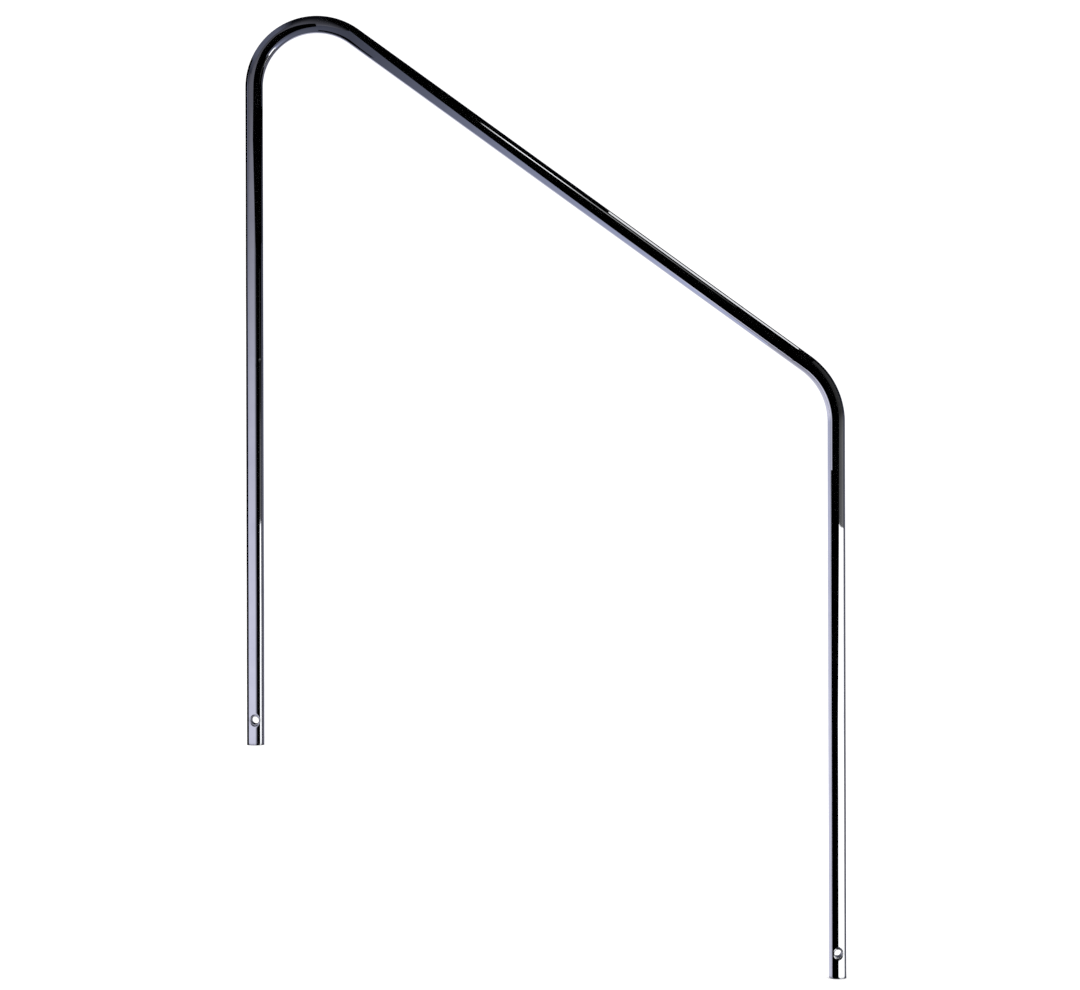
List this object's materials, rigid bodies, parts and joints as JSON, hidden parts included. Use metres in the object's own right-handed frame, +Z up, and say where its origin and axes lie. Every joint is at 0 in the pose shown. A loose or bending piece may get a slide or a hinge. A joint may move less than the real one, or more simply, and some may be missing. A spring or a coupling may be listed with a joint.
{
  "type": "pool handrail",
  "caption": "Polished bent-tube pool handrail: a tall deck leg, a sloping grip and a lower step leg, each foot pressed flat and drilled across for a clamping bolt.",
  "frame": {"origin": "centre of the deck leg's cut end", "axes": "+Z up along the legs, +X from the deck leg to the step leg, +Y to the back, square to the plane the rail is bent in"},
  "size_m": [0.8763, 0.0254, 1.4097],
  "materials": {
    "polished_steel": "mirror-polished stainless steel",
    "sleeve_steel": "turned stainless steel",
    "plug_plastic": "moulded black polyethylene"
  },
  "bodies": {
    "root": {"rail_tube": "polished_steel", "deck_spacer_sleeve": "sleeve_steel", "deck_end_plug": "plug_plastic", "step_spacer_sleeve": "sleeve_steel", "step_end_plug": "plug_plastic"}
  },
  "joints": []
}
